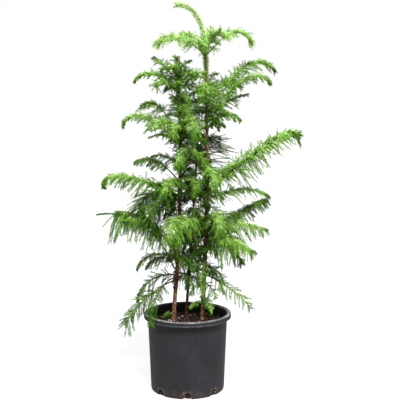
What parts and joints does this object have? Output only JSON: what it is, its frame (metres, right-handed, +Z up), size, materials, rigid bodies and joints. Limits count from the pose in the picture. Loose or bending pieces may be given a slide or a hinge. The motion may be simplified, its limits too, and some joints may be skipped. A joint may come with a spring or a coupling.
{
  "type": "potted norfolk island pine",
  "caption": "Young Norfolk Island pine with upright stems and tiers of arching needled boughs, growing in a round black nursery pot filled with soil.",
  "frame": {"origin": "middle of the pot's flat underside", "axes": "+Z up along the stems, -Y towards the front seen in the picture, +X to the right of that view"},
  "size_m": [0.5459, 0.4211, 1.0472],
  "materials": {
    "pot_plastic": "slightly scuffed satin",
    "soil": "matte",
    "bark": "matte",
    "bough_bark": "matte",
    "needles_fresh": "satin",
    "needles_mid": "satin",
    "needles_deep": "satin"
  },
  "bodies": {
    "root": {"pot": "pot_plastic", "soil": "soil", "stem_tall": "bark", "stem_left": "bark", "stem_middle": "bark", "bough_tall_top_right": "bough_bark", "bough_tall_upper_right_high": "bough_bark", "bough_tall_foot_right": "bough_bark", "bough_left_top_left_high": "bough_bark", "bough_left_skirt_left": "bough_bark", "foliage_tall_leader": "needles_fresh", "foliage_tall_top_left": "needles_fresh", "foliage_tall_top_right": "needles_fresh", "foliage_tall_top_front_right": "needles_fresh", "foliage_tall_top_front_left": "needles_fresh", "foliage_tall_top_back": "needles_fresh", "foliage_tall_upper_right_high": "needles_fresh", "foliage_tall_upper_right_low": "needles_fresh", "foliage_tall_upper_front": "needles_fresh", "foliage_tall_upper_back": "needles_fresh", "foliage_tall_hanging_right": "needles_mid", "foliage_tall_hanging_back": "needles_mid", "foliage_tall_middle_right": "needles_fresh", "foliage_tall_middle_front_left": "needles_fresh", "foliage_tall_middle_front": "needles_fresh", "foliage_tall_waist_right": "needles_mid", "foliage_tall_waist_right_back": "needles_mid", "foliage_tall_lower_front": "needles_mid", "foliage_tall_lower_right": "needles_mid", "foliage_tall_lower_right_front": "needles_mid", "foliage_tall_lower_front_left": "needles_mid", "foliage_tall_foot_right_arc": "needles_mid", "foliage_tall_foot_right": "needles_mid", "foliage_tall_foot_front": "needles_mid", "foliage_left_top_left_high": "needles_fresh", "foliage_left_top_front": "needles_fresh", "foliage_left_top_right": "needles_fresh", "foliage_left_top_left": "needles_fresh", "foliage_left_top_front_left": "needles_fresh", "foliage_left_upper_left_high": "needles_fresh", "foliage_left_upper_left": "needles_fresh", "foliage_left_upper_front_left": "needles_fresh", "foliage_left_upper_front_right": "needles_fresh", "foliage_left_upper_back": "needles_fresh", "foliage_left_middle_left": "needles_mid", "foliage_left_waist_left": "needles_mid", "foliage_left_waist_front": "needles_mid", "foliage_left_lower_left": "needles_deep", "foliage_left_lower_front": "needles_deep", "foliage_left_skirt_left": "needles_mid", "foliage_left_skirt_left_short": "needles_mid", "foliage_left_foot_left": "needles_mid", "foliage_left_foot_left_front": "needles_mid", "foliage_left_foot_left_low": "needles_mid", "foliage_middle_top_back_left": "needles_mid", "foliage_middle_top_back_right": "needles_mid", "foliage_middle_waist_back": "needles_deep", "foliage_middle_lower_back_left": "needles_deep", "foliage_middle_lower_back_right": "needles_deep", "foliage_middle_foot_front": "needles_deep"}
  },
  "joints": []
}
